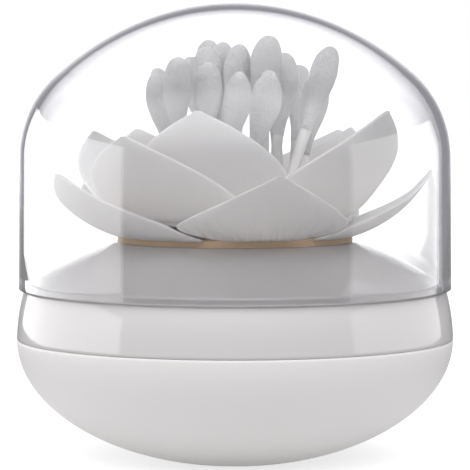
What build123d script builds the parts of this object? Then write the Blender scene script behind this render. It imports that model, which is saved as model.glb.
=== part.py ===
from build123d import *
import math
import os

# Cotton swab holder: a round-bottomed base, a lotus flower that hides the swab cup,
# a bunch of cotton swabs and a clear dome that lifts off. Millimetres, Z up, foot at Z = 0.
# Directions round the axis are azimuths in degrees: 0 faces the front (-Y), 90 the right (+X).

# Base
BODY_R = 52.0  # largest radius, at the parting line of the two base shells
PARTING_Z = 28.8
FOOT_R = 15.5  # flat that the holder stands on
BOWL_WALL = 2.2
SHELL_WALL = 2.0
SEAT_Z = 40.7  # ledge that carries the dome's rim
SEAT_STEP = 1.7  # how far the ledge's outer edge lies inside the largest radius
SEAT_ROUND = 0.2  # bevel of the ledge's outer edge
SIDE_SWELL = 0.3  # how far the upper shell's side bellies out halfway up
SIDE_SWELL_RISE = 0.4  # height of the widest belly above the true half
SPIGOT_H = 1.5  # short wall that centres the dome, above the ledge
MOUND_SWELL = (1.4, 0.1)  # how far out and up the mound's middle lies from a straight slope
MOUND_WALL_STEP = (1.2, 1.8)  # how far in and down the mound's inner face lies there
DECK_MARGIN = 1.0  # flat left free round the outer plate
DECK_Z = 52.0
LIP_DEPTH = 2.6  # lip of the upper shell inside the bowl
LIP_WALL = 1.4
LIP_GAP = 0.12
PARTING_BEVEL = 0.25
BODY_RIM_BAND = 0.01  # edges within this of BODY_R belong to the parting line

# Weight in the bowl
WEIGHT_R = 14.0
WEIGHT_H = 8.0
WEIGHT_BEVEL = 0.6
RIB_GAP = 0.2
RIB_WALL = 1.5
RIB_H = 5.0  # height of the rib above the bowl's floor

# Clear dome
DOME_OVERHANG = 1.2  # how far the rim stands out beyond the ledge
DOME_DRAFT = 0.2  # how much narrower the dome is where the shoulder starts
DOME_WALL = 2.0
DOME_CROWN_R = 62.0  # large arc over the top
DOME_SHOULDER_R = 28.0  # smaller arc from the crown to the side
DOME_TOP_Z = 109.0
RIM_ROUND = 0.3
DOME_FIT = 0.3  # gap between the dome's inner face and the spigot

# Swab cup
CUP_BORE_R = 17.0
CUP_WALL = 1.3
CUP_FLOOR_Z = 19.7
CUP_FLOOR_T = 1.6
CUP_BEVEL = 0.8
CUP_FIT = 0.15  # gap between the cup and what it passes through
CUP_FLANGE = 1.3  # width of the flange beyond the cup's wall
CUP_FLANGE_T = 1.2

# Petal rings, stacked on the deck from the outside in
PLATE_T = 1.6
PETAL_T = 1.3
TIP_ROUND = 0.98  # share of the petal's length where its rounded tip starts
TIP_BLUNT = 0.15
ROOT_TUCK = 0.05  # share of a petal's length that runs into its plate
LEAF_SHARES = (0.4, 0.55, 0.7, 0.84)  # places along the leaf that fix its edge
SKIN_OVERRUN = 1.04  # share of the length that the turned skin reaches
SKIN_MARGIN = 24.0  # degrees of skin beyond the leaf's width, both sides together
CUTTER_MARGIN = 4.0  # height of the leaf-shaped cutter beyond the petal, below and above
MIDDLE_PLATE_Z = 56.8
OUTER_PLATE_R = 28.0
MIDDLE_PLATE_R = 28.0
INNER_PLATE_R = 22.4
HUB_WALL = 1.8
# Out and up from a plate's lower edge to its petals' roots
OUTER_ROOT = (0.4, 0.9)
MIDDLE_ROOT = (0.2, 1.0)
INNER_ROOT = (-0.4, 2.0)

# Cotton swabs
SWAB_L = 74.0
STICK_R = 1.2
STICK_END = 2.2  # cotton beyond the stick's end
STICK_FIT = 0.02
COTTON_R = 3.1
COTTON_NECK_R = 1.45
COTTON_L = 20.0
COTTON_BELLY = 6.5  # distance of the widest place from the swab's end
SWAB_REST = 0.15  # gap under a swab on the cup's floor
INNER_SEAT_R = 6.7
OUTER_SEAT_R = 13.6
INNER_SEAT_TURN = 42.0
OUTER_SEAT_TURN = 30.0
# Azimuth and radius of each swab's upper end and how far it is wedged up, seat by seat
CENTRE_SWAB = (28, 1.5, 5.0)
INNER_SWABS = [
    (107, 13.0, 4.0), (148, 13.5, 5.0), (-155, 7.5, 6.0),
    (-152, 14.5, 7.0), (-103, 7.0, 4.5), (58, 10.0, 7.5),
]
OUTER_SWABS = [
    (86, 20.0, 0.0), (138, 24.0, 4.5), (154, 20.0, 3.5), (-164, 25.0, 6.0),
    (-148, 22.0, 5.0), (-112, 21.0, 1.0), (-93, 19.0, 1.0), (-29, 27.5, 7.5),
    (-14, 22.0, 3.5), (4, 21.0, 0.5), (37, 14.0, 0.0), (68, 24.5, 7.5),
]

# What follows from the sizes above
SEAT_R = BODY_R - SEAT_STEP
DOME_R = SEAT_R + DOME_OVERHANG
DOME_BORE_R = DOME_R - DOME_WALL
DECK_R = OUTER_PLATE_R + DECK_MARGIN
INNER_PLATE_Z = MIDDLE_PLATE_Z + PLATE_T


class Petal:
    """A leaf cut from a bowl-shaped wall: where its root and tip lie, and how wide it is."""

    def __init__(self, azimuth, tip, root, sag, half_width, widest, taper, root_half_width=6.5):
        self.azimuth = azimuth
        self.tip_r, self.tip_z = tip
        self.root_r, self.root_z = root
        self.sag = sag  # how far the wall bellies out below the chord from root to tip
        self.half_width = half_width
        self.widest = widest  # share of the length where the leaf is widest
        self.taper = taper  # 1 gives straight edges to the tip, more gives rounder ones
        self.root_half_width = root_half_width

    def meridian(self, share):
        """Radius and height of the outer face at a share of the length."""
        run, rise = self.tip_r - self.root_r, self.tip_z - self.root_z
        length = math.hypot(run, rise)
        belly = 4 * self.sag * share * (1 - share)
        return (
            self.root_r + run * share + rise / length * belly,
            self.root_z + rise * share - run / length * belly,
        )

    def width(self, share):
        """Half width of the leaf, measured round the wall."""
        if share < self.widest:
            swell = math.sin(math.pi / 2 * share / self.widest)
            return self.root_half_width + (self.half_width - self.root_half_width) * swell
        return self.half_width * (1 - ((share - self.widest) / (1 - self.widest)) ** self.taper)


def root(plate_r, plate_z, offset):
    """Where the petals of a plate start."""
    return plate_r + offset[0], plate_z + offset[1]


# Outer and middle tips stay a named way inside the dome; the inner ones close round the swabs
outer_root = root(OUTER_PLATE_R, DECK_Z, OUTER_ROOT)
middle_root = root(MIDDLE_PLATE_R, MIDDLE_PLATE_Z, MIDDLE_ROOT)
inner_root = root(INNER_PLATE_R, INNER_PLATE_Z, INNER_ROOT)
OUTER_PETALS = [
    Petal(12.5 + 72 * k, (DOME_BORE_R - 2.5, 69.0), outer_root, 0.5, 21.4, 0.2, 1.12, 16.0)
    for k in range(5)
]
MIDDLE_PETALS = [
    Petal(-37, (DOME_BORE_R - 7.9, 77.6), middle_root, 1.4, 22.4, 0.19, 2.0),
    Petal(51, (DOME_BORE_R - 5.3, 83.0), middle_root, 1.4, 22.2, 0.36, 1.35),
    Petal(142, (DOME_BORE_R - 6.5, 78.0), middle_root, 1.4, 22.4, 0.30, 1.6),
    Petal(-126, (DOME_BORE_R - 5.5, 77.8), middle_root, 1.4, 22.4, 0.30, 1.6),
]
INNER_PETALS = [
    Petal(-15, (32.5, 83.3), inner_root, 1.5, 20.6, 0.15, 2.3, 14.0),
    Petal(115, (31.5, 79.0), inner_root, 1.5, 20.6, 0.15, 2.3, 14.0),
    Petal(-133, (33.5, 78.5), inner_root, 1.5, 20.6, 0.15, 2.3, 14.0),
]


def ring(inner_r, outer_r, low_z, high_z):
    """A plain ring about the axis."""
    outer = Pos(0, 0, (low_z + high_z) / 2) * Cylinder(outer_r, high_z - low_z)
    return outer - Pos(0, 0, (low_z + high_z) / 2) * Cylinder(inner_r, high_z - low_z)


def ellipse_at(radius, height, centre_z, z):
    """Radius of a half ellipse below centre_z at height z."""
    return radius * math.sqrt(1 - ((centre_z - z) / height) ** 2)


def turned(*edges):
    """Solid of revolution about Z of a closed outline drawn in the XZ plane."""
    return revolve(make_face(Wire(list(edges))), Axis.Z)


def point(r, z):
    """A point of an outline in the XZ plane."""
    return (r, 0, z)


def quarter(radius, height, centre_z, foot_r, foot_z):
    """Half-ellipse arc in the XZ plane, from the foot up to the widest place."""
    start = math.degrees(math.atan2((foot_z - centre_z) / height, foot_r / radius))
    plane = Plane(origin=(0, 0, centre_z), x_dir=(1, 0, 0), z_dir=(0, -1, 0))
    return plane * EllipticalCenterArc((0, 0), radius, height, start, arc_size=-start)


def base_bowl():
    """Lower shell: half an ellipsoid with a flat foot, and a rib that locates the weight."""
    height = PARTING_Z / math.sqrt(1 - (FOOT_R / BODY_R) ** 2)
    outer = turned(
        Line(point(0, 0), point(FOOT_R, 0)),
        quarter(BODY_R, height, PARTING_Z, FOOT_R, 0),
        Line(point(BODY_R, PARTING_Z), point(0, PARTING_Z)),
        Line(point(0, PARTING_Z), point(0, 0)),
    )
    inner_r, inner_h = BODY_R - BOWL_WALL, height - BOWL_WALL
    floor_r = ellipse_at(inner_r, inner_h, PARTING_Z, BOWL_WALL)
    inner = turned(
        Line(point(0, BOWL_WALL), point(floor_r, BOWL_WALL)),
        quarter(inner_r, inner_h, PARTING_Z, floor_r, BOWL_WALL),
        Line(point(inner_r, PARTING_Z), point(0, PARTING_Z)),
        Line(point(0, PARTING_Z), point(0, BOWL_WALL)),
    )
    bowl = outer - inner
    rib_r = WEIGHT_R + RIB_GAP
    bowl += ring(rib_r, rib_r + RIB_WALL, BOWL_WALL / 2, BOWL_WALL + RIB_H)
    rim = bowl.edges().filter_by(GeomType.CIRCLE).filter_by(lambda e: e.radius > BODY_R - BODY_RIM_BAND)
    return chamfer(rim, PARTING_BEVEL)


def base_weight():
    """Turned steel disc on the bowl's floor."""
    disc = Pos(0, 0, BOWL_WALL + WEIGHT_H / 2) * Cylinder(WEIGHT_R, WEIGHT_H)
    return chamfer(disc.edges().filter_by(GeomType.CIRCLE), WEIGHT_BEVEL)


def base_shoulder():
    """Upper shell: swelling side, ledge and spigot for the dome, mound and flat deck."""
    side_mid_z = (PARTING_Z + SEAT_Z) / 2
    side_mid_r = (BODY_R + SEAT_R) / 2 + SIDE_SWELL
    spigot_r = DOME_BORE_R - DOME_FIT
    top_z = SEAT_Z + SPIGOT_H
    mound_r = (spigot_r + DECK_R) / 2 + MOUND_SWELL[0]
    mound_z = (top_z + DECK_Z) / 2 + MOUND_SWELL[1]
    ledge_z = SEAT_Z - SEAT_ROUND
    outer = turned(
        Line(point(0, PARTING_Z), point(BODY_R, PARTING_Z)),
        ThreePointArc(
            point(BODY_R, PARTING_Z),
            point(side_mid_r, side_mid_z + SIDE_SWELL_RISE),
            point(SEAT_R, ledge_z),
        ),
        Line(point(SEAT_R, ledge_z), point(SEAT_R - SEAT_ROUND, SEAT_Z)),
        Line(point(SEAT_R - SEAT_ROUND, SEAT_Z), point(spigot_r, SEAT_Z)),
        Line(point(spigot_r, SEAT_Z), point(spigot_r, top_z)),
        ThreePointArc(point(spigot_r, top_z), point(mound_r, mound_z), point(DECK_R, DECK_Z)),
        Line(point(DECK_R, DECK_Z), point(0, DECK_Z)),
        Line(point(0, DECK_Z), point(0, PARTING_Z)),
    )
    wall = SHELL_WALL
    inner_deck_r = DECK_R - wall / 2
    step_in, step_down = MOUND_WALL_STEP
    inner = turned(
        Line(point(0, PARTING_Z), point(BODY_R - wall, PARTING_Z)),
        ThreePointArc(
            point(BODY_R - wall, PARTING_Z),
            point(side_mid_r - wall, side_mid_z),
            point(spigot_r - wall, SEAT_Z - wall),
        ),
        Line(point(spigot_r - wall, SEAT_Z - wall), point(spigot_r - wall, top_z - wall / 2)),
        ThreePointArc(
            point(spigot_r - wall, top_z - wall / 2),
            point(mound_r - step_in, mound_z - step_down),
            point(inner_deck_r, DECK_Z - wall),
        ),
        Line(point(inner_deck_r, DECK_Z - wall), point(0, DECK_Z - wall)),
        Line(point(0, DECK_Z - wall), point(0, PARTING_Z)),
    )
    shell = outer - inner
    lip_r = BODY_R - BOWL_WALL - LIP_GAP
    bowl_height = PARTING_Z / math.sqrt(1 - (FOOT_R / BODY_R) ** 2)
    lip_low_r = ellipse_at(lip_r, bowl_height - BOWL_WALL, PARTING_Z, PARTING_Z - LIP_DEPTH)
    shell += ring(lip_low_r - LIP_WALL, lip_low_r, PARTING_Z - LIP_DEPTH, PARTING_Z + LIP_WALL)
    shell += ring(lip_low_r - LIP_WALL, BODY_R - wall / 2, PARTING_Z, PARTING_Z + LIP_WALL)
    shell -= Pos(0, 0, DECK_Z) * Cylinder(CUP_BORE_R + CUP_WALL + CUP_FIT, 3 * wall)
    rim = shell.edges().filter_by(GeomType.CIRCLE).filter_by(lambda e: e.radius > BODY_R - BODY_RIM_BAND)
    return chamfer(rim, PARTING_BEVEL)


def swab_cup():
    """Cup that carries the swabs, hung by its flange on the innermost petal ring."""
    flange_z = INNER_PLATE_Z + PLATE_T
    outer_r = CUP_BORE_R + CUP_WALL
    low_z, high_z = CUP_FLOOR_Z - CUP_FLOOR_T, flange_z + CUP_FLANGE_T
    cup = Pos(0, 0, (low_z + high_z) / 2) * Cylinder(outer_r, high_z - low_z)
    cup = chamfer(cup.edges().sort_by(Axis.Z)[0], CUP_BEVEL)
    cup += ring(outer_r - CUP_WALL / 2, outer_r + CUP_FLANGE, flange_z, high_z)
    bore_h = high_z - CUP_FLOOR_Z
    return cup - Pos(0, 0, CUP_FLOOR_Z + bore_h / 2) * Cylinder(CUP_BORE_R, bore_h)


def petal_wall(petal):
    """One petal: a bowl-shaped skin turned about the axis, cut to the leaf and thickened inwards."""
    arc = ThreePointArc(*(point(*petal.meridian(share)) for share in (-ROOT_TUCK, 0.5, SKIN_OVERRUN)))
    span = 2 * math.degrees(petal.half_width / petal.root_r) + SKIN_MARGIN
    skin = Rot(0, 0, -span / 2) * Face.revolve(arc, span, Axis.Z)
    side = []
    for share in (0.0, petal.widest / 2, petal.widest, *LEAF_SHARES, TIP_ROUND):
        radius = petal.meridian(share)[0]
        turn = petal.width(share) / radius
        side.append((radius * math.cos(turn), radius * math.sin(turn)))
    other = [(x, -y) for x, y in side]
    tail = (side[0][0] - 2 * PETAL_T, side[0][1])
    leaf = make_face(
        Wire([
            Line((tail[0], -tail[1]), tail),
            Line(tail, side[0]),
            Spline(*side),
            ThreePointArc(side[-1], (petal.tip_r - TIP_BLUNT, 0), other[-1]),
            Spline(*reversed(other)),
            Line(other[0], (tail[0], -tail[1])),
        ])
    )
    low_z = petal.root_z - CUTTER_MARGIN
    cutter = Pos(0, 0, low_z) * extrude(leaf, petal.tip_z - low_z + CUTTER_MARGIN)
    cut_skin = (skin & cutter).faces()[0]
    wall = Solid.thicken(cut_skin, PETAL_T, normal_override=(-1, 0, 1))
    return Rot(0, 0, petal.azimuth - 90) * wall


def petal_ring(petals, plate_r, plate_z, hub_z):
    """Moulded ring of petals: a flat plate round the cup, its hub and the petals on its edge."""
    bore = CUP_BORE_R + CUP_WALL + CUP_FIT
    body = ring(bore, plate_r, plate_z, plate_z + PLATE_T)
    if hub_z < plate_z:
        body += ring(bore, bore + HUB_WALL, hub_z, plate_z + PLATE_T / 2)
    for petal in petals:
        body += petal_wall(petal)
    return body


def dome_cover():
    """Clear dome of one wall thickness: near-upright side, shoulder arc and flat crown arc."""

    def outline(inset, low_r, low_z):
        crown_z = DOME_TOP_Z - DOME_CROWN_R
        shoulder_x = DOME_R - DOME_DRAFT - DOME_SHOULDER_R
        reach = DOME_CROWN_R - DOME_SHOULDER_R
        shoulder_z = crown_z + math.sqrt(reach**2 - shoulder_x**2)
        crown, shoulder = DOME_CROWN_R - inset, DOME_SHOULDER_R - inset
        lean = math.atan2(shoulder_z - crown_z, shoulder_x)
        top = point(0, crown_z + crown)
        turn = math.pi / 2 - (math.pi / 2 - lean) / 2
        crown_mid = point(crown * math.cos(turn), crown_z + crown * math.sin(turn))
        join = point(crown * math.cos(lean), crown_z + crown * math.sin(lean))
        half = lean / 2
        shoulder_mid = point(
            shoulder_x + shoulder * math.cos(half), shoulder_z + shoulder * math.sin(half)
        )
        side = point(shoulder_x + shoulder, shoulder_z)
        return [
            Line(point(0, low_z), point(low_r, low_z)),
            Line(point(low_r, low_z), side),
            ThreePointArc(side, shoulder_mid, join),
            ThreePointArc(join, crown_mid, top),
            Line(top, point(0, low_z)),
        ]

    outer = turned(*outline(0, DOME_R, SEAT_Z))
    inner = turned(*outline(DOME_WALL, DOME_BORE_R, SEAT_Z))
    dome = outer - inner
    rim = dome.faces().sort_by(Axis.Z)[0].edges()
    return fillet(rim, RIM_ROUND)


def cotton_head():
    """Wound cotton tip standing on its end at the origin, with the hole that the stick fills."""
    end_mid = COTTON_R * math.sin(math.radians(45))
    hole = STICK_R + STICK_FIT
    return turned(
        ThreePointArc(point(0, 0), point(end_mid, COTTON_R - end_mid), point(COTTON_R, COTTON_R)),
        Line(point(COTTON_R, COTTON_R), point(COTTON_R, COTTON_BELLY)),
        Line(point(COTTON_R, COTTON_BELLY), point(COTTON_NECK_R, COTTON_L)),
        Line(point(COTTON_NECK_R, COTTON_L), point(hole, COTTON_L)),
        Line(point(hole, COTTON_L), point(hole, STICK_END)),
        Line(point(hole, STICK_END), point(0, STICK_END)),
        Line(point(0, STICK_END), point(0, 0)),
    )


def around(azimuth, radius):
    """Plan position at an azimuth and a radius."""
    turn = math.radians(azimuth)
    return radius * math.sin(turn), -radius * math.cos(turn)


def swab_frames():
    """Where each swab stands: a frame at its lower end with Z along the swab."""
    places = [((0, 0), CENTRE_SWAB)]
    for seats_r, turn, swabs in (
        (INNER_SEAT_R, INNER_SEAT_TURN, INNER_SWABS),
        (OUTER_SEAT_R, OUTER_SEAT_TURN, OUTER_SWABS),
    ):
        for k, swab in enumerate(swabs):
            places.append((around(turn + 360 / len(swabs) * k, seats_r), swab))
    frames = []
    for (x, y), (azimuth, radius, lift) in places:
        tip_x, tip_y = around(azimuth, radius)
        lean = math.hypot(tip_x - x, tip_y - y)
        rise = math.sqrt(SWAB_L**2 - lean**2)
        z = CUP_FLOOR_Z + SWAB_REST + lift + COTTON_R * (1 - rise / SWAB_L)
        frames.append(Plane(origin=(x, y, z), z_dir=(tip_x - x, tip_y - y, rise)))
    return frames


def save(shape, node):
    """Write one node's STEP file."""
    export_step(shape, f"parts/{node}.step")


os.makedirs("parts", exist_ok=True)
save(base_bowl(), "base_bowl")
save(base_weight(), "base_weight")
save(base_shoulder(), "base_shoulder")
save(swab_cup(), "swab_cup")
save(petal_ring(OUTER_PETALS, OUTER_PLATE_R, DECK_Z, DECK_Z), "petal_ring_outer")
save(petal_ring(MIDDLE_PETALS, MIDDLE_PLATE_R, MIDDLE_PLATE_Z, DECK_Z + PLATE_T), "petal_ring_middle")
save(petal_ring(INNER_PETALS, INNER_PLATE_R, INNER_PLATE_Z, INNER_PLATE_Z), "petal_ring_inner")
save(dome_cover(), "dome_cover")

head = cotton_head()
upper_head = Pos(0, 0, SWAB_L) * Rot(180, 0, 0) * head
stick = Pos(0, 0, SWAB_L / 2) * Cylinder(STICK_R, SWAB_L - 2 * STICK_END)
for number, frame in enumerate(swab_frames(), start=1):
    save(frame * stick, f"swab_stick_{number:02d}")
    save(Compound([frame * head, frame * upper_head]), f"swab_cotton_{number:02d}")
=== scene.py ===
import math

import bpy
import numpy as np
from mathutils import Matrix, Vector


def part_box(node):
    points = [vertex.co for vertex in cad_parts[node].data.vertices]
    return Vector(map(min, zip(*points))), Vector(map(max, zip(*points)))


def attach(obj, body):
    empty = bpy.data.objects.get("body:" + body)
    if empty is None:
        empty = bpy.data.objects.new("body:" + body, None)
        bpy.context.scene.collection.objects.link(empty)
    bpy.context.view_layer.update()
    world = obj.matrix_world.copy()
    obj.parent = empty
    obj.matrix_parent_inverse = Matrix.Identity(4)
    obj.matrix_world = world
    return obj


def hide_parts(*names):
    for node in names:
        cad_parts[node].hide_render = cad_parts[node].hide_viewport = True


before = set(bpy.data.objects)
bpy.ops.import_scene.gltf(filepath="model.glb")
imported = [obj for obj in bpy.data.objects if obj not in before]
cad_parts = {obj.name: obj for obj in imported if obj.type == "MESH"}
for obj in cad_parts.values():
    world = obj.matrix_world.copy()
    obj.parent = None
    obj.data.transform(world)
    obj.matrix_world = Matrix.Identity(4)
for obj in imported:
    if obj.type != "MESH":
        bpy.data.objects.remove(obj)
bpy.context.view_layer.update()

MM = 0.001

# Studio: a light table with a white backdrop behind it, soft light from above and from the room in
# front, and a wide panel on each side. What lies between them is dim and shows in the clear dome's
# edges; the panels' front edges show as upright borders on the dome and the shell.
CAMERA_BACK = 0.650
CAMERA_HEIGHT = 0.0933
CAMERA_DOWN = 3.52
FOCAL_LENGTH = 209.1
SENSOR_WIDTH = 36.0
# The panels reach below the table, so that their reflections run down the whole of the shell.
PANEL_DISTANCE = 0.70
PANEL_LOW = -0.15
PANEL_HIGH = 0.27
# Azimuth of each panel's middle in degrees, its width and its radiance.
PANELS = {"panel_left": (-104, 1.35, 2.3), "panel_right": (98, 1.02, 1.3)}
BACKDROP_LIGHT = 1.18
DARK_SIDE = (0.30, 0.295, 0.325)
ROOM_LOW = 0.03
ROOM_HIGH = 2.05
OVERHEAD_LIGHT = 1.20
# Where each light fades in, as sines of the angle to the right, to the back or up.
BACKDROP_LEFT = (-0.38, -0.14)
BACKDROP_RIGHT = (0.32, 0.10)
BACKDROP_BEHIND = (0.20, 0.40)
BACKDROP_TOP = (0.38, 0.18)
ROOM_IN_FRONT = (-0.05, -0.50)
ROOM_LOW_RISE = (0.90, -0.10)
ROOM_HIGH_RISE = (0.10, 0.60)
OVERHEAD_RISE = (0.45, 0.95)
# The table's glow near the object, away from it, and behind it or to the camera, then its paint.
# Its reach is where the near part ends, in metres, like its edges.
TABLE_LIGHT = 0.32
TABLE_FAR = 0.26
TABLE_GLOW = 0.62
TABLE_WHITE = 0.50
TABLE_REACH = (0.05, 0.14)
TABLE_HALF = 0.42
TABLE_FRONT = -1.0
TABLE_BACK = 3.0


def nodes_of(owner):
    """The node tree of a material or world, emptied."""
    owner.use_nodes = True
    owner.node_tree.nodes.clear()
    return owner.node_tree.nodes, owner.node_tree.links


def add_node(nodes, kind, values=None, **settings):
    """A shader node with its settings and the values of its inputs."""
    node = nodes.new(f"ShaderNode{kind}")
    for setting, value in settings.items():
        setattr(node, setting, value)
    for socket, value in (values or {}).items():
        node.inputs[socket].default_value = value
    return node


def fade(nodes, links, value, start, end, high=1.0):
    """A smooth rise from 0 to high as a value goes from start to end."""
    falling = start > end
    ends = (high, 0.0) if falling else (0.0, high)
    values = {"From Min": min(start, end), "From Max": max(start, end), "To Min": ends[0], "To Max": ends[1]}
    ramp = add_node(nodes, "MapRange", values, interpolation_type="SMOOTHSTEP")
    links.new(value, ramp.inputs["Value"])
    return ramp.outputs["Result"]


def combine(nodes, links, operation, *values):
    """Sockets joined by one arithmetic operation, from the left."""
    total = values[0]
    for value in values[1:]:
        step = add_node(nodes, "Math", operation=operation)
        links.new(total, step.inputs[0])
        links.new(value, step.inputs[1])
        total = step.outputs[0]
    return total


def scaled(nodes, links, value, factor):
    """A socket's value times a fixed factor."""
    step = add_node(nodes, "Math", {1: factor}, operation="MULTIPLY")
    links.new(value, step.inputs[0])
    return step.outputs[0]


def add_camera():
    """A long lens level with the swabs, tipped a little down."""
    data = bpy.data.cameras.new("camera")
    data.sensor_width = SENSOR_WIDTH
    data.lens = FOCAL_LENGTH
    data.clip_start = 0.01
    camera = bpy.data.objects.new("camera", data)
    camera.location = (0.0, -CAMERA_BACK, CAMERA_HEIGHT)
    camera.rotation_euler = (math.radians(90 - CAMERA_DOWN), 0.0, 0.0)
    bpy.context.scene.collection.objects.link(camera)
    bpy.context.scene.camera = camera


def add_panel(name, azimuth, width, radiance):
    """An upright soft panel that faces the object from one side."""
    data = bpy.data.lights.new(name, "AREA")
    data.shape = "RECTANGLE"
    data.size = width
    height = PANEL_HIGH - PANEL_LOW
    data.size_y = height
    # A flat lamp's power is its radiance times pi times its area.
    data.energy = radiance * math.pi * width * height
    light = bpy.data.objects.new(name, data)
    turn = math.radians(azimuth)
    x, y = PANEL_DISTANCE * math.sin(turn), -PANEL_DISTANCE * math.cos(turn)
    light.location = (x, y, (PANEL_HIGH + PANEL_LOW) / 2)
    light.rotation_euler = (math.radians(90), 0.0, turn)
    light.visible_camera = False
    bpy.context.scene.collection.objects.link(light)


def backdrop(nodes, links, x, y):
    """How far a direction lies within the backdrop, sideways: 0 outside it, 1 inside."""
    left, right = fade(nodes, links, x, *BACKDROP_LEFT), fade(nodes, links, x, *BACKDROP_RIGHT)
    return combine(nodes, links, "MULTIPLY", left, right, fade(nodes, links, y, *BACKDROP_BEHIND))


def add_world():
    """White in a window behind the object, soft above and in front, dim elsewhere, white to the camera."""
    world = bpy.data.worlds.new("studio")
    bpy.context.scene.world = world
    nodes, links = nodes_of(world)
    direction = add_node(nodes, "TexCoord")
    parts = add_node(nodes, "SeparateXYZ")
    links.new(direction.outputs["Generated"], parts.inputs[0])
    x, y, z = (parts.outputs[k] for k in range(3))
    window_height = fade(nodes, links, z, *BACKDROP_TOP, BACKDROP_LIGHT)
    window = combine(nodes, links, "MULTIPLY", backdrop(nodes, links, x, y), window_height)
    in_front = fade(nodes, links, y, *ROOM_IN_FRONT)
    high = combine(nodes, links, "MULTIPLY", in_front, fade(nodes, links, z, *ROOM_HIGH_RISE, ROOM_HIGH))
    low = combine(nodes, links, "MULTIPLY", in_front, fade(nodes, links, z, *ROOM_LOW_RISE, ROOM_LOW))
    overhead = fade(nodes, links, z, *OVERHEAD_RISE, OVERHEAD_LIGHT)
    soft = combine(nodes, links, "ADD", window, high, low, overhead)
    tint = add_node(
        nodes, "Mix", {"Factor": 1.0, "B": (*DARK_SIDE, 1)}, data_type="RGBA", blend_type="ADD"
    )
    links.new(soft, tint.inputs["A"])
    path = add_node(nodes, "LightPath")
    shown = add_node(nodes, "Mix", {"B": (1, 1, 1, 1)}, data_type="RGBA")
    links.new(path.outputs["Is Camera Ray"], shown.inputs["Factor"])
    links.new(tint.outputs["Result"], shown.inputs["A"])
    glow = add_node(nodes, "Background")
    links.new(shown.outputs["Result"], glow.inputs["Color"])
    out = add_node(nodes, "OutputWorld")
    links.new(glow.outputs[0], out.inputs[0])


def add_floor():
    """A light table: it glows round the object, keeps its shadow, and is white behind and to the camera."""
    left, right = -TABLE_HALF, TABLE_HALF
    corners = [(left, TABLE_FRONT, 0), (right, TABLE_FRONT, 0), (right, TABLE_BACK, 0), (left, TABLE_BACK, 0)]
    mesh = bpy.data.meshes.new("floor")
    mesh.from_pydata(corners, [], [(0, 1, 2, 3)])
    floor = bpy.data.objects.new("floor", mesh)
    bpy.context.scene.collection.objects.link(floor)
    material = bpy.data.materials.new("floor_white")
    nodes, links = nodes_of(material)
    place = add_node(nodes, "TexCoord")
    distance = add_node(nodes, "VectorMath", operation="LENGTH")
    bearing = add_node(nodes, "VectorMath", operation="NORMALIZE")
    parts = add_node(nodes, "SeparateXYZ")
    links.new(place.outputs["Object"], distance.inputs[0])
    links.new(place.outputs["Object"], bearing.inputs[0])
    links.new(bearing.outputs["Vector"], parts.inputs[0])
    near = fade(nodes, links, distance.outputs["Value"], TABLE_REACH[1], TABLE_REACH[0])
    behind = backdrop(nodes, links, parts.outputs["X"], parts.outputs["Y"])
    to_camera = add_node(nodes, "LightPath").outputs["Is Camera Ray"]
    white = add_node(nodes, "BsdfDiffuse")
    painted = combine(nodes, links, "MAXIMUM", near, behind, to_camera)
    links.new(scaled(nodes, links, painted, TABLE_WHITE), white.inputs["Color"])
    far = add_node(nodes, "Value")
    far.outputs[0].default_value = TABLE_FAR
    strength = combine(
        nodes, links, "MAXIMUM", far.outputs[0], scaled(nodes, links, near, TABLE_LIGHT),
        scaled(nodes, links, behind, TABLE_GLOW), scaled(nodes, links, to_camera, TABLE_GLOW),
    )
    glow = add_node(nodes, "Emission")
    links.new(strength, glow.inputs["Strength"])
    both = add_node(nodes, "AddShader")
    links.new(white.outputs[0], both.inputs[0])
    links.new(glow.outputs[0], both.inputs[1])
    out = add_node(nodes, "OutputMaterial")
    links.new(both.outputs[0], out.inputs["Surface"])
    mesh.materials.append(material)


bpy.context.scene.view_settings.view_transform = "Standard"
add_camera()
for name, (azimuth, width, radiance) in PANELS.items():
    add_panel(name, azimuth, width, radiance)
add_world()
add_floor()


# Lower shell of the base: injection-moulded plastic with a fine satin surface, half an ellipsoid
# with a flat foot. It stops at the parting line, where the upper shell snaps in.
BOWL_FOOT_R = 15.5 * MM
BOWL_WALL = 2.2 * MM
PARTING_BEVEL = 0.25 * MM
SATIN_WHITE = (0.70, 0.685, 0.675, 1)
SHELL_SEGMENTS = 192
MOTTLE_SCALE = 60.0
PLASTIC_IOR = 1.49


def add_surface(name, grid, wrap_rows, poles=None):
    """Mesh of quads over grid[row, column], closed round the columns, and round the rows or at two poles.

    A pole is one point that the first or last row is joined to by triangles. The faces are turned
    outwards by the sign of the volume, the sum of each corner's product with the two that follow."""
    rows, columns = grid.shape[:2]
    index = np.arange(rows * columns).reshape(rows, columns)
    below = index if wrap_rows else index[:-1]
    above = np.roll(index, -1, axis=0) if wrap_rows else index[1:]
    quads = np.stack([below, np.roll(below, -1, 1), np.roll(above, -1, 1), above], -1).reshape(-1, 4)
    points = grid.reshape(-1, 3)
    triangles = np.zeros((0, 3), int)
    if poles is not None:
        points = np.vstack([points, np.array(poles, float)])
        first, last = index[0], index[-1]
        start = np.stack([np.roll(first, -1), first, np.full(columns, rows * columns)], -1)
        end = np.stack([last, np.roll(last, -1), np.full(columns, rows * columns + 1)], -1)
        triangles = np.vstack([start, end])
    halves = np.vstack([quads[:, [0, 1, 2]], quads[:, [0, 2, 3]], triangles])
    a, b, c = (points[halves[:, k]] for k in range(3))
    if np.einsum("ij,ij->i", a, np.cross(b, c)).sum() < 0:
        quads, triangles = quads[:, ::-1], triangles[:, ::-1]
    mesh = bpy.data.meshes.new(name)
    mesh.from_pydata(points, [], [*quads.tolist(), *triangles.tolist()])
    mesh.shade_smooth()
    piece = bpy.data.objects.new(name, mesh)
    bpy.context.scene.collection.objects.link(piece)
    return piece


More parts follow.
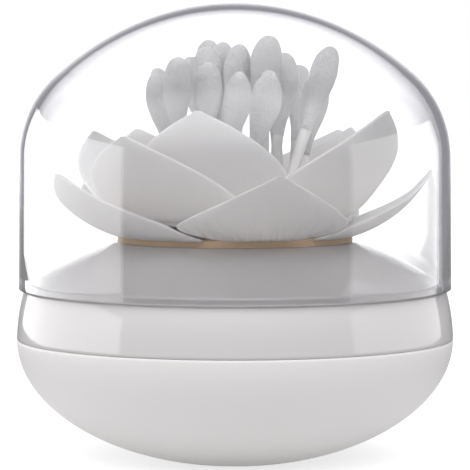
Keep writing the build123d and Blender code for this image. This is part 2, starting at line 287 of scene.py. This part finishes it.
def turned(name, profile, segments, poles=None):
    """Surface of revolution: each profile point (radius, height) carried round the axis."""
    profile = np.asarray(profile, float)
    turn = np.linspace(0, 2 * np.pi, segments, endpoint=False)
    r, z = profile[:, :1], profile[:, 1:]
    grid = np.stack([r * np.sin(turn), -r * np.cos(turn), z + 0 * turn], -1)
    return add_surface(name, grid, poles is None, poles)


def rounded(corners, radii, steps=6, spacing=2.0 * MM):
    """Outline with rounded corners: at each corner a quadratic curve that starts and ends its radius
    away, and straight runs between them with points no further apart than spacing."""
    corners = np.asarray(corners, float)
    points = [corners[:1]]
    for k in range(1, len(corners) - 1):
        before, here, after = corners[k - 1], corners[k], corners[k + 1]
        back = (before - here) / np.linalg.norm(before - here)
        ahead = (after - here) / np.linalg.norm(after - here)
        t = np.linspace(0, 1, steps)[:, None]
        start, end = here + back * radii[k], here + ahead * radii[k]
        points.append((1 - t) ** 2 * start + 2 * t * (1 - t) * here + t**2 * end)
    points.append(corners[-1:])
    path = np.vstack(points)
    runs = [path[:1]]
    for a, b in zip(path[:-1], path[1:]):
        count = max(1, math.ceil(np.linalg.norm(b - a) / spacing))
        runs.append(a + (b - a) * (np.arange(1, count + 1) / count)[:, None])
    return np.vstack(runs)


def ellipse_arc(radius, height, centre_z, foot_r, count):
    """Half-ellipse arc from the foot up to the widest place: radius cos a, centre_z + height sin a."""
    start = -math.acos(foot_r / radius)
    a = np.linspace(start, 0, count)
    return np.stack([radius * np.cos(a), centre_z + height * np.sin(a)], -1)


def noise(nodes, links, place, values):
    """Noise over the piece's own coordinates."""
    texture = add_node(nodes, "TexNoise", values)
    links.new(place, texture.inputs["Vector"])
    return texture.outputs["Fac"]


def spread(nodes, links, value, low, high):
    """A value from 0 to 1 spread between two ends."""
    ramp = add_node(nodes, "MapRange", {"To Min": low, "To Max": high})
    links.new(value, ramp.inputs["Value"])
    return ramp.outputs["Result"]


def bump_and_output(nodes, links, surface, height, depth):
    """The surface with a bump of the given depth in metres, joined to the material's output."""
    bump = add_node(nodes, "Bump", {"Strength": 1.0, "Distance": depth})
    links.new(height, bump.inputs["Height"])
    links.new(bump.outputs["Normal"], surface.inputs["Normal"])
    out = add_node(nodes, "OutputMaterial")
    links.new(surface.outputs[0], out.inputs["Surface"])


def plastic(name, colour, roughness, grain, grain_depth, mottle=0.03, coat=0.0):
    """Moulded plastic: a Principled surface with a fine grain as bump and a little uneven gloss."""
    material = bpy.data.materials.new(name)
    nodes, links = nodes_of(material)
    place = add_node(nodes, "TexCoord").outputs["Object"]
    fine = noise(nodes, links, place, {"Scale": grain, "Detail": 3.0})
    broad = noise(nodes, links, place, {"Scale": MOTTLE_SCALE, "Detail": 2.0})
    gloss = spread(nodes, links, broad, roughness - mottle, roughness + mottle)
    values = {"Base Color": colour, "IOR": PLASTIC_IOR, "Coat Weight": coat}
    surface = add_node(nodes, "BsdfPrincipled", values)
    links.new(gloss, surface.inputs["Roughness"])
    bump_and_output(nodes, links, surface, fine, grain_depth)
    return material


bowl_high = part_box("base_bowl")[1]
body_r, parting_z = bowl_high.x, bowl_high.z
bowl_height = parting_z / math.sqrt(1 - (BOWL_FOOT_R / body_r) ** 2)
inner_r, inner_height = body_r - BOWL_WALL, bowl_height - BOWL_WALL
inner_foot_r = inner_r * math.sqrt(1 - ((parting_z - BOWL_WALL) / inner_height) ** 2)
outer = ellipse_arc(body_r, bowl_height, parting_z, BOWL_FOOT_R, count=60)
inner = ellipse_arc(inner_r, inner_height, parting_z, inner_foot_r, count=40)
# The edge rounds over by the bevel: its three points turn in from the widest place to the parting line.
bevel_points = np.array([(0.1, 1.0), (0.4, 0.4), (1.0, 0.0)]) * PARTING_BEVEL
edge = np.array([body_r, parting_z]) - bevel_points
foot_shares = np.linspace(0.2, 0.97, 6)
flat = np.stack([foot_shares * BOWL_FOOT_R, 0 * foot_shares], -1)
inner_flat = np.stack([foot_shares[::-1] * inner_foot_r, BOWL_WALL + 0 * foot_shares], -1)
bowl_profile = np.vstack([flat, outer[:-1], edge, inner[::-1], inner_flat])
bowl = turned("lower_shell", bowl_profile, SHELL_SEGMENTS, [(0, 0, 0), (0, 0, BOWL_WALL)])
bowl.data.materials.append(
    plastic("satin_shell_white", SATIN_WHITE, roughness=0.42, grain=2600.0, grain_depth=0.00003, mottle=0.04)
)
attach(bowl, "holder")
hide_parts("base_bowl")


# Upper shell of the base: polished white plastic. Its side swells to the parting line, a ledge and
# a low spigot carry the dome, and the mound rises to the flat deck that the flower stands on.
SHELL_WALL = 2.0 * MM
SHELL_GAP = 0.02 * MM
SEAT_Z = 40.7 * MM
SEAT_R = 50.3 * MM
SEAT_ROUND = 0.2 * MM
SIDE_SWELL_R = 51.45 * MM
SIDE_SWELL_RISE = 0.4 * MM
SPIGOT_R = 49.2 * MM
SPIGOT_H = 1.5 * MM
MOUND_MID = (40.5 * MM, 47.2 * MM)
DECK_R = 29.0 * MM
BORE_R = 18.45 * MM
BORE_ROUND = 0.2 * MM
GLOSS_WHITE = (0.56, 0.542, 0.538, 1)
# The mound's underside lies one wall away from its face, square to the slope.
INWARDS = np.array([-0.5, -0.85])


def three_point_arc(start, middle, end, count):
    """Points on the circle through three points, from start to end, at even angles."""
    (ax, ay), (bx, by), (cx, cy) = start, middle, end
    d = 2 * (ax * (by - cy) + bx * (cy - ay) + cx * (ay - by))
    a2, b2, c2 = ax**2 + ay**2, bx**2 + by**2, cx**2 + cy**2
    x0 = (a2 * (by - cy) + b2 * (cy - ay) + c2 * (ay - by)) / d
    y0 = (a2 * (cx - bx) + b2 * (ax - cx) + c2 * (bx - ax)) / d
    angles = np.unwrap([math.atan2(y - y0, x - x0) for x, y in (start, middle, end)])
    a = np.linspace(angles[0], angles[2], count)
    radius = math.hypot(ax - x0, ay - y0)
    return np.stack([x0 + radius * np.cos(a), y0 + radius * np.sin(a)], -1)


deck_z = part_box("base_shoulder")[1].z
spigot_top = SEAT_Z + SPIGOT_H
inner_deck_z = deck_z - SHELL_WALL
side_mid = (SIDE_SWELL_R, (parting_z + SEAT_Z) / 2 + SIDE_SWELL_RISE)
side_end = (SEAT_R, SEAT_Z - SEAT_ROUND)
side = three_point_arc((body_r, parting_z + PARTING_BEVEL), side_mid, side_end, count=24)
ledge = rounded(
    [side[-1], (SEAT_R, SEAT_Z), (SPIGOT_R, SEAT_Z), (SPIGOT_R, spigot_top)],
    [0, SEAT_ROUND, SEAT_ROUND, 0], spacing=0.6 * MM,
)
mound = three_point_arc((SPIGOT_R, spigot_top), MOUND_MID, (DECK_R, deck_z), count=40)
top = rounded(
    [mound[-1], (BORE_R, deck_z), (BORE_R, inner_deck_z), (DECK_R, inner_deck_z)],
    [0, BORE_ROUND, BORE_ROUND, 0],
)
under = mound[::-1][1:-1] + INWARDS * SHELL_WALL
inside = three_point_arc(
    (SPIGOT_R - SHELL_WALL, SEAT_Z - SHELL_WALL), (side_mid[0] - SHELL_WALL, side_mid[1]),
    (body_r - SHELL_WALL, parting_z + SHELL_GAP), count=16,
)
foot = [(body_r - PARTING_BEVEL, parting_z + SHELL_GAP)]
shoulder_profile = np.vstack([side, ledge[1:], mound[1:], top[1:], under, inside, foot])
shoulder = turned("upper_shell", shoulder_profile, SHELL_SEGMENTS)
shoulder.data.materials.append(plastic(
    "gloss_shell_white", GLOSS_WHITE, roughness=0.09, grain=900.0, grain_depth=0.000004, mottle=0.02, coat=0.3
))
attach(shoulder, "holder")
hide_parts("base_shoulder")


# Lotus flower: three moulded rings of matt white plastic, stacked on the deck, the lowest on a plate
# painted tan as painted warm shade in the gap under the petals. Each petal is a thin bowl-shaped leaf
# that grows out of its ring's plate and thins towards its rim.
PLATE_T = 1.6 * MM
PLATE_ROUND = 0.15 * MM
OUTER_PLATE_R = 28.0 * MM
MIDDLE_PLATE_R = 28.0 * MM
MIDDLE_PLATE_Z = 56.8 * MM
INNER_PLATE_R = 22.4 * MM
HUB_WALL = 1.8 * MM
RING_SEGMENTS = 128
PETAL_WHITE = (0.91, 0.885, 0.86, 1)
# The lowest plate's tan is painted shade: the warm shadow in the gap between the petals and the deck.
PAINTED_SHADE_TAN = (0.62, 0.44, 0.27, 1)
GLOW_DEPTH = (0.009, 0.0083, 0.0075)
# The petals' sizes are in millimetres. Shares are of the length from root to tip, or of the wall.
PETAL_T = 1.3
PETAL_RIM = 0.45
TIP_FROM = 0.9
TIP_ROUND = 0.98
TIP_THIN_WIDTH = 1.2
TIP_THIN_LEAST = 0.25
SIDE_THIN_POWER = 3
TIP_THIN_POWER = 6
EDGE_BULGE = 0.35
ROOT_START = {"outer": 0.015, "middle": -0.05, "inner": -0.05}
POINTS_ACROSS = 41
POINTS_ON_EDGE = 5
# Fine ribs fan up each petal and fade out. Their pitch is in degrees about the axis, their slant in
# degrees for each millimetre up the petal, and their strength falls by one over the reach.
RIB_PITCH = 1.5
RIB_SLANT = 0.45
RIB_REACH = 0.55
RIB_START = 1.1
RIB_LEAST = 0.12
RIB_DEPTH = {"outer": 1.0, "middle": 0.15, "inner": 0.15}
# For each petal: azimuth, tip radius and height, root radius and height, sag, half width, widest
# place as a share, taper, half width at the root.
FRONT_PETAL = (12.4, 47.0, 69.2, 28.8, 53.4, 2.0, 21.0, 0.33, 1.28, 7.0)
PETALS = {
    "outer": [FRONT_PETAL] + [
        (12.5 + 72 * k, 47.0, 69.0, 28.0, 53.2, 2.6, 21.8, 0.35, 1.3, 22.0) for k in range(1, 5)
    ],
    "middle": [
        (-37, 41.6, 77.6, 28.2, 57.8, 1.4, 22.4, 0.19, 2.0, 6.5),
        (51, 44.2, 83.0, 28.2, 57.8, 1.4, 22.2, 0.36, 1.35, 6.5),
        (142, 43.0, 78.0, 28.2, 57.8, 1.4, 22.4, 0.30, 1.6, 6.5),
        (-126, 44.0, 77.8, 28.2, 57.8, 1.4, 22.4, 0.30, 1.6, 6.5),
    ],
    "inner": [
        (-15, 32.5, 83.3, 22.0, 60.4, 1.5, 20.6, 0.15, 2.3, 14.0),
        (115, 31.5, 79.0, 22.0, 60.4, 1.5, 20.6, 0.15, 2.3, 14.0),
        (-133, 33.5, 78.5, 22.0, 60.4, 1.5, 20.6, 0.15, 2.3, 14.0),
    ],
}


def petal_width(share, half_width, widest, taper, root_width):
    """Half width along a petal: it swells from the root as a quarter sine, shrinks by one minus the
    share to the power taper, and closes in an ellipse at the tip."""
    swell = root_width + (half_width - root_width) * np.sin(np.pi / 2 * np.clip(share / widest, 0, 1))
    shrink = np.clip((share - widest) / (1 - widest), 0, 1) ** taper
    width = np.where(share < widest, swell, half_width * (1 - shrink))
    tip_width = half_width * (1 - ((TIP_ROUND - widest) / (1 - widest)) ** taper)
    close = np.sqrt(np.clip(1 - ((share - TIP_ROUND) / (1 - TIP_ROUND)) ** 2, 0, 1))
    return np.where(share > TIP_ROUND, tip_width * close, width)


def petal_grid(start, azimuth, tip_r, tip_z, root_r, root_z, sag, *leaf):
    """One petal as sections across it, from the root to the tip.

    Along the petal the outer face follows a chord from root to tip that bellies down by sag. Across
    it the leaf follows a circle about the axis, as wide as petal_width says. The inner face lies one
    thickness inwards, less towards the rim, and half circles join the two. With the points come the
    ribs' line, which is the azimuth plus a slant up the petal, and their strength."""
    tip_turn = np.linspace(0.1, 0.5, 14) * np.pi
    share = np.concatenate([np.linspace(start, TIP_FROM, 46), TIP_FROM + (1 - TIP_FROM) * np.sin(tip_turn)])
    run, rise = tip_r - root_r, tip_z - root_z
    length = math.hypot(run, rise)
    belly = 4 * sag * share * (1 - share)
    r = root_r + run * share + rise / length * belly
    z = root_z + rise * share - run / length * belly
    slope = 4 * sag * (1 - 2 * share)
    dr, dz = run + rise / length * slope, rise - run / length * slope
    dr, dz = dr / np.hypot(dr, dz), dz / np.hypot(dr, dz)
    width = petal_width(share, *leaf)
    across = np.linspace(-1, 1, POINTS_ACROSS)
    flat, edge = np.zeros(POINTS_ACROSS), np.ones(POINTS_ON_EDGE)
    turn = np.linspace(-np.pi / 2, np.pi / 2, POINTS_ON_EDGE + 2)[1:-1]
    t = np.concatenate([across, edge, across[::-1], -edge])
    h = np.concatenate([flat, (1 + np.sin(turn)) / 2, flat + 1, (1 - np.sin(turn)) / 2])
    bulge = np.concatenate([flat, np.cos(turn), flat, -np.cos(turn)])
    to_rim = np.maximum(np.abs(t)[None] ** SIDE_THIN_POWER, share[:, None] ** TIP_THIN_POWER)
    thin = 1 - (1 - PETAL_RIM) * np.clip(to_rim, 0, 1)
    depth = PETAL_T * thin * np.clip(width[:, None] / TIP_THIN_WIDTH, TIP_THIN_LEAST, 1)
    spread_out = width[:, None] * t + EDGE_BULGE * depth * bulge
    radius = r[:, None] - dz[:, None] * depth * h
    height = z[:, None] + dr[:, None] * depth * h
    angle = np.radians(azimuth) + spread_out / r[:, None]
    grid = np.stack([radius * np.sin(angle), -radius * np.cos(angle), height], -1) * MM
    line = np.degrees(angle) + RIB_SLANT * share[:, None] * length
    fading = np.clip(RIB_START - share / RIB_REACH, RIB_LEAST, 1.0)[:, None] + 0 * angle
    return grid, line, fading


def add_heights(nodes, links, height, other, factor):
    """One bump height times a factor, plus another."""
    total = add_node(nodes, "Math", {1: factor}, operation="MULTIPLY_ADD")
    links.new(height, total.inputs[0])
    links.new(other, total.inputs[2])
    return total.outputs[0]


def petal_plastic():
    """Matt plastic that lets a little light through, with fine moulded ribs fanning up each petal."""
    material = bpy.data.materials.new("petal_white_matt")
    nodes, links = nodes_of(material)
    place = add_node(nodes, "TexCoord").outputs["Object"]
    fan = add_node(nodes, "Attribute", attribute_name="rib_line")
    parts = add_node(nodes, "SeparateXYZ")
    links.new(fan.outputs["Vector"], parts.inputs[0])
    sine = add_node(nodes, "Math", operation="SINE")
    links.new(scaled(nodes, links, parts.outputs["X"], 2 * math.pi / RIB_PITCH), sine.inputs[0])
    ribs = combine(nodes, links, "MULTIPLY", sine.outputs[0], parts.outputs["Z"])
    grain = noise(nodes, links, place, {"Scale": 1800.0, "Detail": 3.0})
    values = {
        "Base Color": PETAL_WHITE, "IOR": 1.46, "Subsurface Weight": 0.85,
        "Subsurface Radius": GLOW_DEPTH, "Subsurface Scale": 1.0,
    }
    surface = add_node(nodes, "BsdfPrincipled", values)
    links.new(spread(nodes, links, grain, low=0.5, high=0.62), surface.inputs["Roughness"])
    height = add_heights(nodes, links, grain, ribs, factor=0.5)
    bump_and_output(nodes, links, surface, height, depth=0.00006)
    return material


def add_petal(name, petal, node, start, rib_depth, material):
    """Mesh of one petal. A point attribute holds its ribs' line in x and their depth in z."""
    grid, line, fading = petal_grid(start, *petal)
    piece = add_surface(name, grid, False, (grid[0].mean(0), grid[-1].mean(0)))
    lines = piece.data.attributes.new("rib_line", "FLOAT_VECTOR", "POINT")
    values = np.stack([line, 0 * line, rib_depth * fading], -1).reshape(-1, 3)
    values = np.vstack([values, values[:1], values[-1:]])
    lines.data.foreach_set("vector", values.astype(np.float32).ravel())
    piece.data.materials.append(material)
    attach(piece, "holder")
    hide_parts(node)


def add_plate(name, low_z, plate_r, hub_z, node, material):
    """Flat ring under a row of petals, with a hub down to the ring below where there is one."""
    hub = [(BORE_R, hub_z), (BORE_R + HUB_WALL, hub_z), (BORE_R + HUB_WALL, low_z)]
    start = hub if hub_z < low_z else [(BORE_R, low_z)]
    loop = start + [(plate_r, low_z), (plate_r, low_z + PLATE_T), (BORE_R, low_z + PLATE_T), start[0]]
    profile = rounded(loop, [PLATE_ROUND] * len(loop))
    plate = turned(name, profile[:-1], RING_SEGMENTS)
    plate.data.materials.append(material)
    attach(plate, "holder")
    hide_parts(node)


petal_white = petal_plastic()
# The lowest plate gets painted shade, a warm tan that stands for the shadow under the petals.
plate_painted_shade = plastic("plate_painted_shade", PAINTED_SHADE_TAN, roughness=0.6, grain=1800.0, grain_depth=0.00002)
outer_top, middle_top = deck_z + PLATE_T, MIDDLE_PLATE_Z + PLATE_T
add_plate("outer_petal_plate", deck_z, OUTER_PLATE_R, deck_z, "petal_ring_outer", plate_painted_shade)
add_plate("middle_petal_plate", MIDDLE_PLATE_Z, MIDDLE_PLATE_R, outer_top, "petal_ring_middle", petal_white)
add_plate("inner_petal_plate", middle_top, INNER_PLATE_R, middle_top, "petal_ring_inner", petal_white)
for row, petals in PETALS.items():
    for number, petal in enumerate(petals, start=1):
        name, node = f"{row}_petal_{number}", f"petal_ring_{row}"
        add_petal(name, petal, node, ROOT_START[row], RIB_DEPTH[row], petal_white)


# Swab cup: a plain moulded cup hung through the rings by its flange, with a rounded foot. Only its
# mouth shows between the swabs.
CUP_BORE_R = 17.0 * MM
CUP_WALL = 1.3 * MM
CUP_FLOOR_T = 1.6 * MM
CUP_FLANGE_R = 19.6 * MM
CUP_FLANGE_T = 1.2 * MM
CUP_MIDDLE_R = 0.1 * MM
CUP_FOOT_ROUND = 0.8 * MM
CUP_NECK_ROUND = 0.1 * MM
CUP_FLANGE_ROUND = 0.3 * MM
CUP_MOUTH_ROUND = 0.4 * MM

cup_low, cup_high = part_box("swab_cup")
cup_floor_z = cup_low.z + CUP_FLOOR_T
cup_r = CUP_BORE_R + CUP_WALL
flange_z = cup_high.z - CUP_FLANGE_T
cup_profile = rounded(
    [
        (CUP_MIDDLE_R, cup_low.z), (cup_r, cup_low.z), (cup_r, flange_z), (CUP_FLANGE_R, flange_z),
        (CUP_FLANGE_R, cup_high.z), (CUP_BORE_R, cup_high.z), (CUP_BORE_R, cup_floor_z),
        (CUP_MIDDLE_R, cup_floor_z),
    ],
    [
        0, CUP_FOOT_ROUND, CUP_NECK_ROUND, CUP_FLANGE_ROUND,
        CUP_FLANGE_ROUND, CUP_MOUTH_ROUND, CUP_FOOT_ROUND, 0,
    ],
)
cup = turned("cup", cup_profile, RING_SEGMENTS, [(0, 0, cup_low.z), (0, 0, cup_floor_z)])
cup.data.materials.append(
    plastic("cup_white", SATIN_WHITE, roughness=0.4, grain=2200.0, grain_depth=0.00002)
)
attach(cup, "holder")
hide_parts("swab_cup")


# Cotton swabs: a stick of tightly rolled paper with a wound cotton head at each end. They stand
# loose in the cup on two rings of seats round one in the middle, and fan out at the top.
# A swab's sizes are in millimetres until carry() puts it in place.
SWAB_L = 74.0
STICK_R = 1.3
STICK_END = 2.2
COTTON_R = 3.1
COTTON_L = 20.0
COTTON_BELLY = 6.5
COTTON_END_R = 1.36
SWAB_REST = 0.15
INNER_SEAT_R = 6.7
OUTER_SEAT_R = 13.6
INNER_SEAT_TURN = 42.0
OUTER_SEAT_TURN = 30.0
# Azimuth and radius of each upper end and how far the swab is wedged up, seat by seat.
CENTRE_SWAB = (28, 1.5, 5.0)
INNER_SWABS = [
    (107, 13.0, 4.0), (148, 13.5, 5.0), (-155, 7.5, 6.0),
    (-152, 14.5, 7.0), (-103, 7.0, 4.5), (58, 10.0, 7.5),
]
OUTER_SWABS = [
    (86, 20.0, 0.0), (138, 24.0, 4.5), (154, 20.0, 3.5), (-164, 25.0, 6.0),
    (-148, 22.0, 5.0), (-112, 21.0, 1.0), (-93, 19.0, 1.0), (-29, 27.5, 7.5),
    (-14, 22.0, 3.5), (4, 21.0, 0.5), (37, 14.0, 0.0), (68, 24.5, 7.5),
]
COTTON_WHITE = (0.70, 0.70, 0.71, 1)
STICK_WHITE = (0.82, 0.82, 0.80, 1)
# Waves round a cotton head, each with its size as a share of the radius: lumps, then finer wisps
# that climb along the head by up to WISP_CLIMB radians in a millimetre.
LUMPS = ((1, 0.025), (2, 0.04), (3, 0.03), (5, 0.014))
LUMP_TWIST = 0.35
WISPS = ((9, 0.006), (13, 0.005), (17, 0.005))
WISP_CLIMB = 2.5
WISP_FADE = 0.7
HEAD_SWAY = 0.3
SWAY_RATE = 0.25
SWAY_START = (0, 6)
PLUMPNESS = (0.98, 1.2)
TIP_POWER = 2.2
TAPER_POWER = 0.92


def around(azimuth, radius):
    """Plan position at an azimuth and a radius."""
    turn = math.radians(azimuth)
    return radius * math.sin(turn), -radius * math.cos(turn)


def swab_frames():
    """Lower end of each swab and three unit vectors, the last along the swab."""
    places = [((0.0, 0.0), CENTRE_SWAB)]
    rings = ((INNER_SEAT_R, INNER_SEAT_TURN, INNER_SWABS), (OUTER_SEAT_R, OUTER_SEAT_TURN, OUTER_SWABS))
    for seat_r, turn, swabs in rings:
        places += [(around(turn + 360 / len(swabs) * k, seat_r), swab) for k, swab in enumerate(swabs)]
    frames = []
    for (x, y), (azimuth, radius, lift) in places:
        tip_x, tip_y = around(azimuth, radius)
        rise = math.sqrt(SWAB_L**2 - (tip_x - x) ** 2 - (tip_y - y) ** 2)
        z = cup_floor_z / MM + SWAB_REST + lift + COTTON_R * (1 - rise / SWAB_L)
        along = np.array([tip_x - x, tip_y - y, rise]) / SWAB_L
        side = np.cross(along, (0.0, 1.0, 0.0))
        side /= np.linalg.norm(side)
        frames.append((np.array([x, y, z]), side, np.cross(along, side), along))
    return frames


def carry(frame_axes, across, over, along):
    """Points given along a swab's three directions, put in place, in metres."""
    origin, x_axis, y_axis, z_axis = frame_axes
    return (origin + across[..., None] * x_axis + over[..., None] * y_axis + along[..., None] * z_axis) * MM


def head_grid(frame_axes, upper, plump, rng):
    """One cotton head: a round tip, a belly and a long taper to the neck, made uneven.

    Over the tip the radius follows an ellipse, a little fuller, as TIP_POWER is above 2. From the
    belly to the stick it follows a half cosine. Waves of random phase round and along it make it
    lean, flatten and bulge a little."""
    tip_turn = np.linspace(0.06, 0.5, 22) * np.pi
    taper_part = np.linspace(COTTON_BELLY, COTTON_L, 40)[1:]
    s = np.concatenate([COTTON_BELLY * (1 - np.cos(tip_turn)), taper_part])
    a = np.linspace(0, 2 * np.pi, 64, endpoint=False)
    to_belly = np.clip(COTTON_BELLY - s, 0, None) / COTTON_BELLY
    fall = np.clip((s - COTTON_BELLY) / (COTTON_L - COTTON_BELLY), 0, 1)
    belly_r = COTTON_R * plump
    tip = belly_r * np.sqrt(1 - to_belly**TIP_POWER)
    taper = 0.5 + 0.5 * np.cos(np.pi * fall**TAPER_POWER)
    body = COTTON_END_R + (belly_r - COTTON_END_R) * taper
    radius = np.where(s < COTTON_BELLY, tip, body)[:, None] * np.ones_like(a)
    along = s[:, None]
    for waves, size in LUMPS:
        phase, twist = rng.uniform(0, 2 * np.pi, 2)
        radius = radius * (1 + size * np.sin(waves * a + phase + LUMP_TWIST * along * np.sin(twist)))
    for waves, size in WISPS:
        phase, climb = rng.uniform(0, 2 * np.pi), rng.uniform(-WISP_CLIMB, WISP_CLIMB)
        wisp = np.sin(waves * a + phase + climb * along) * (1 - WISP_FADE * fall[:, None])
        radius = radius + COTTON_R * size * wisp
    sway = (HEAD_SWAY * np.sin(s * SWAY_RATE + rng.uniform(*SWAY_START)) * (1 - fall**2))[:, None]
    length = along + 0 * a
    if upper:
        return carry(frame_axes, radius * np.cos(a) + sway, -radius * np.sin(a), SWAB_L - length)
    return carry(frame_axes, radius * np.cos(a) + sway, radius * np.sin(a), length)


def cotton():
    """Wound cotton: soft white with a sheen, and a bump of fine tangled fibres over broader lumps."""
    material = bpy.data.materials.new("cotton_white")
    nodes, links = nodes_of(material)
    place = add_node(nodes, "TexCoord").outputs["Object"]
    tangle = {"Scale": 900.0, "Detail": 5.0, "Roughness": 0.65, "Distortion": 1.2}
    fibre = noise(nodes, links, place, tangle)
    lump = noise(nodes, links, place, {"Scale": 260.0, "Detail": 2.0})
    values = {
        "Base Color": COTTON_WHITE, "Specular IOR Level": 0.1, "Sheen Weight": 0.3,
        "Subsurface Weight": 0.4, "Subsurface Radius": (0.002, 0.002, 0.002), "Subsurface Scale": 1.0,
    }
    surface = add_node(nodes, "BsdfPrincipled", values)
    links.new(spread(nodes, links, fibre, low=0.85, high=1.0), surface.inputs["Roughness"])
    height = add_heights(nodes, links, lump, fibre, factor=1.6)
    bump_and_output(nodes, links, surface, height, depth=0.0009)
    return material


def stick_grid(frame_axes):
    """A straight round stick: one circle carried along the swab, hidden at both ends in the cotton."""
    turn = np.linspace(0, 2 * np.pi, 24, endpoint=False)
    reach = np.linspace(STICK_END, SWAB_L - STICK_END, 12)[:, None]
    across, over = STICK_R * np.cos(turn) + 0 * reach, STICK_R * np.sin(turn) + 0 * reach
    return carry(frame_axes, across, over, reach + 0 * turn)


cotton_white = cotton()
paper_white = plastic("rolled_paper_white", STICK_WHITE, roughness=0.6, grain=1500.0, grain_depth=0.00002)
rng = np.random.default_rng(11)
for number, axes in enumerate(swab_frames(), start=1):
    grid = stick_grid(axes)
    stick = add_surface(f"stick_{number:02d}", grid, False, (grid[0].mean(0), grid[-1].mean(0)))
    stick.data.materials.append(paper_white)
    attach(stick, "holder")
    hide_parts(f"swab_stick_{number:02d}")
    for upper, side in ((True, "upper"), (False, "lower")):
        grid = head_grid(axes, upper, rng.uniform(*PLUMPNESS) if upper else 1.0, rng)
        end = carry(axes, np.zeros(1), np.zeros(1), np.array([SWAB_L if upper else 0.0]))[0]
        head = add_surface(f"cotton_{number:02d}_{side}", grid, False, (end, grid[-1].mean(0)))
        head.data.materials.append(cotton_white)
        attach(head, "holder")
        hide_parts(f"swab_cotton_{number:02d}")


# Dome: one clear moulding of even wall, polished inside and out, with a rounded rim that stands on
# the ledge. It lifts straight off.
DOME_R = 51.5 * MM
DOME_SHOULDER_START_R = 51.3 * MM
DOME_WALL = 2.0 * MM
DOME_CROWN_R = 62.0 * MM
DOME_SHOULDER_R = 28.0 * MM
DOME_SEGMENTS = 256
RIM_ROUND = 0.3 * MM
CLEAR = (0.985, 0.985, 0.99, 1)
# Both outlines stop a little short of the axis, where one point closes them.
CROWN_END = 0.997 * np.pi / 2


def dome_arc(inset, top_z):
    """Upper outline of the dome, from the shoulder up to the crown: two arcs that meet at a tangent."""
    crown_z = top_z - DOME_CROWN_R
    shoulder_x = DOME_SHOULDER_START_R - DOME_SHOULDER_R
    shoulder_z = crown_z + math.sqrt((DOME_CROWN_R - DOME_SHOULDER_R) ** 2 - shoulder_x**2)
    lean = math.atan2(shoulder_z - crown_z, shoulder_x)
    low, high = np.linspace(0, lean, 40)[:-1], np.linspace(lean, CROWN_END, 60)
    shoulder, crown = DOME_SHOULDER_R - inset, DOME_CROWN_R - inset
    return np.vstack([
        np.stack([shoulder_x + shoulder * np.cos(low), shoulder_z + shoulder * np.sin(low)], -1),
        np.stack([crown * np.cos(high), crown_z + crown * np.sin(high)], -1),
    ])


def clear_plastic():
    """Clear polished plastic, with the faintest waviness of a moulding."""
    material = bpy.data.materials.new("clear_dome_plastic")
    nodes, links = nodes_of(material)
    place = add_node(nodes, "TexCoord").outputs["Object"]
    wave = noise(nodes, links, place, {"Scale": 25.0, "Detail": 1.0})
    values = {"Base Color": CLEAR, "Transmission Weight": 1.0, "Roughness": 0.0, "IOR": PLASTIC_IOR}
    surface = add_node(nodes, "BsdfPrincipled", values)
    bump_and_output(nodes, links, surface, wave, depth=0.00003)
    return material


dome_low, dome_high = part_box("dome_cover")
outside = dome_arc(0.0, dome_high.z)
within = dome_arc(DOME_WALL, dome_high.z)
rim = rounded(
    [within[0], (DOME_R - DOME_WALL, dome_low.z), (DOME_R, dome_low.z), outside[0]],
    [0, RIM_ROUND, RIM_ROUND, 0], spacing=3 * MM,
)
dome_profile = np.vstack([within[::-1], rim[1:-1], outside])
dome_poles = [(0, 0, dome_high.z - DOME_WALL), (0, 0, dome_high.z)]
dome = turned("clear_dome", dome_profile, DOME_SEGMENTS, dome_poles)
dome.data.materials.append(clear_plastic())
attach(dome, "dome")
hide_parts("dome_cover")


# Weight: a turned steel disc that keeps the round base upright. It lies on the bowl's floor, held
# by the rib there, and nothing of it shows in the closed base.
STEEL_GREY = (0.56, 0.57, 0.58, 1)


def turned_steel():
    """Bare steel with the fine rings that turning leaves."""
    material = bpy.data.materials.new("turned_steel")
    nodes, links = nodes_of(material)
    place = add_node(nodes, "TexCoord").outputs["Object"]
    rings = add_node(nodes, "TexWave", {"Scale": 400.0}, wave_type="RINGS", rings_direction="Z")
    links.new(place, rings.inputs["Vector"])
    values = {"Base Color": STEEL_GREY, "Metallic": 1.0, "Roughness": 0.35}
    surface = add_node(nodes, "BsdfPrincipled", values)
    bump_and_output(nodes, links, surface, rings.outputs["Fac"], depth=0.00002)
    return material


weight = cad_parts["base_weight"]
weight.data.materials.clear()
weight.data.materials.append(turned_steel())
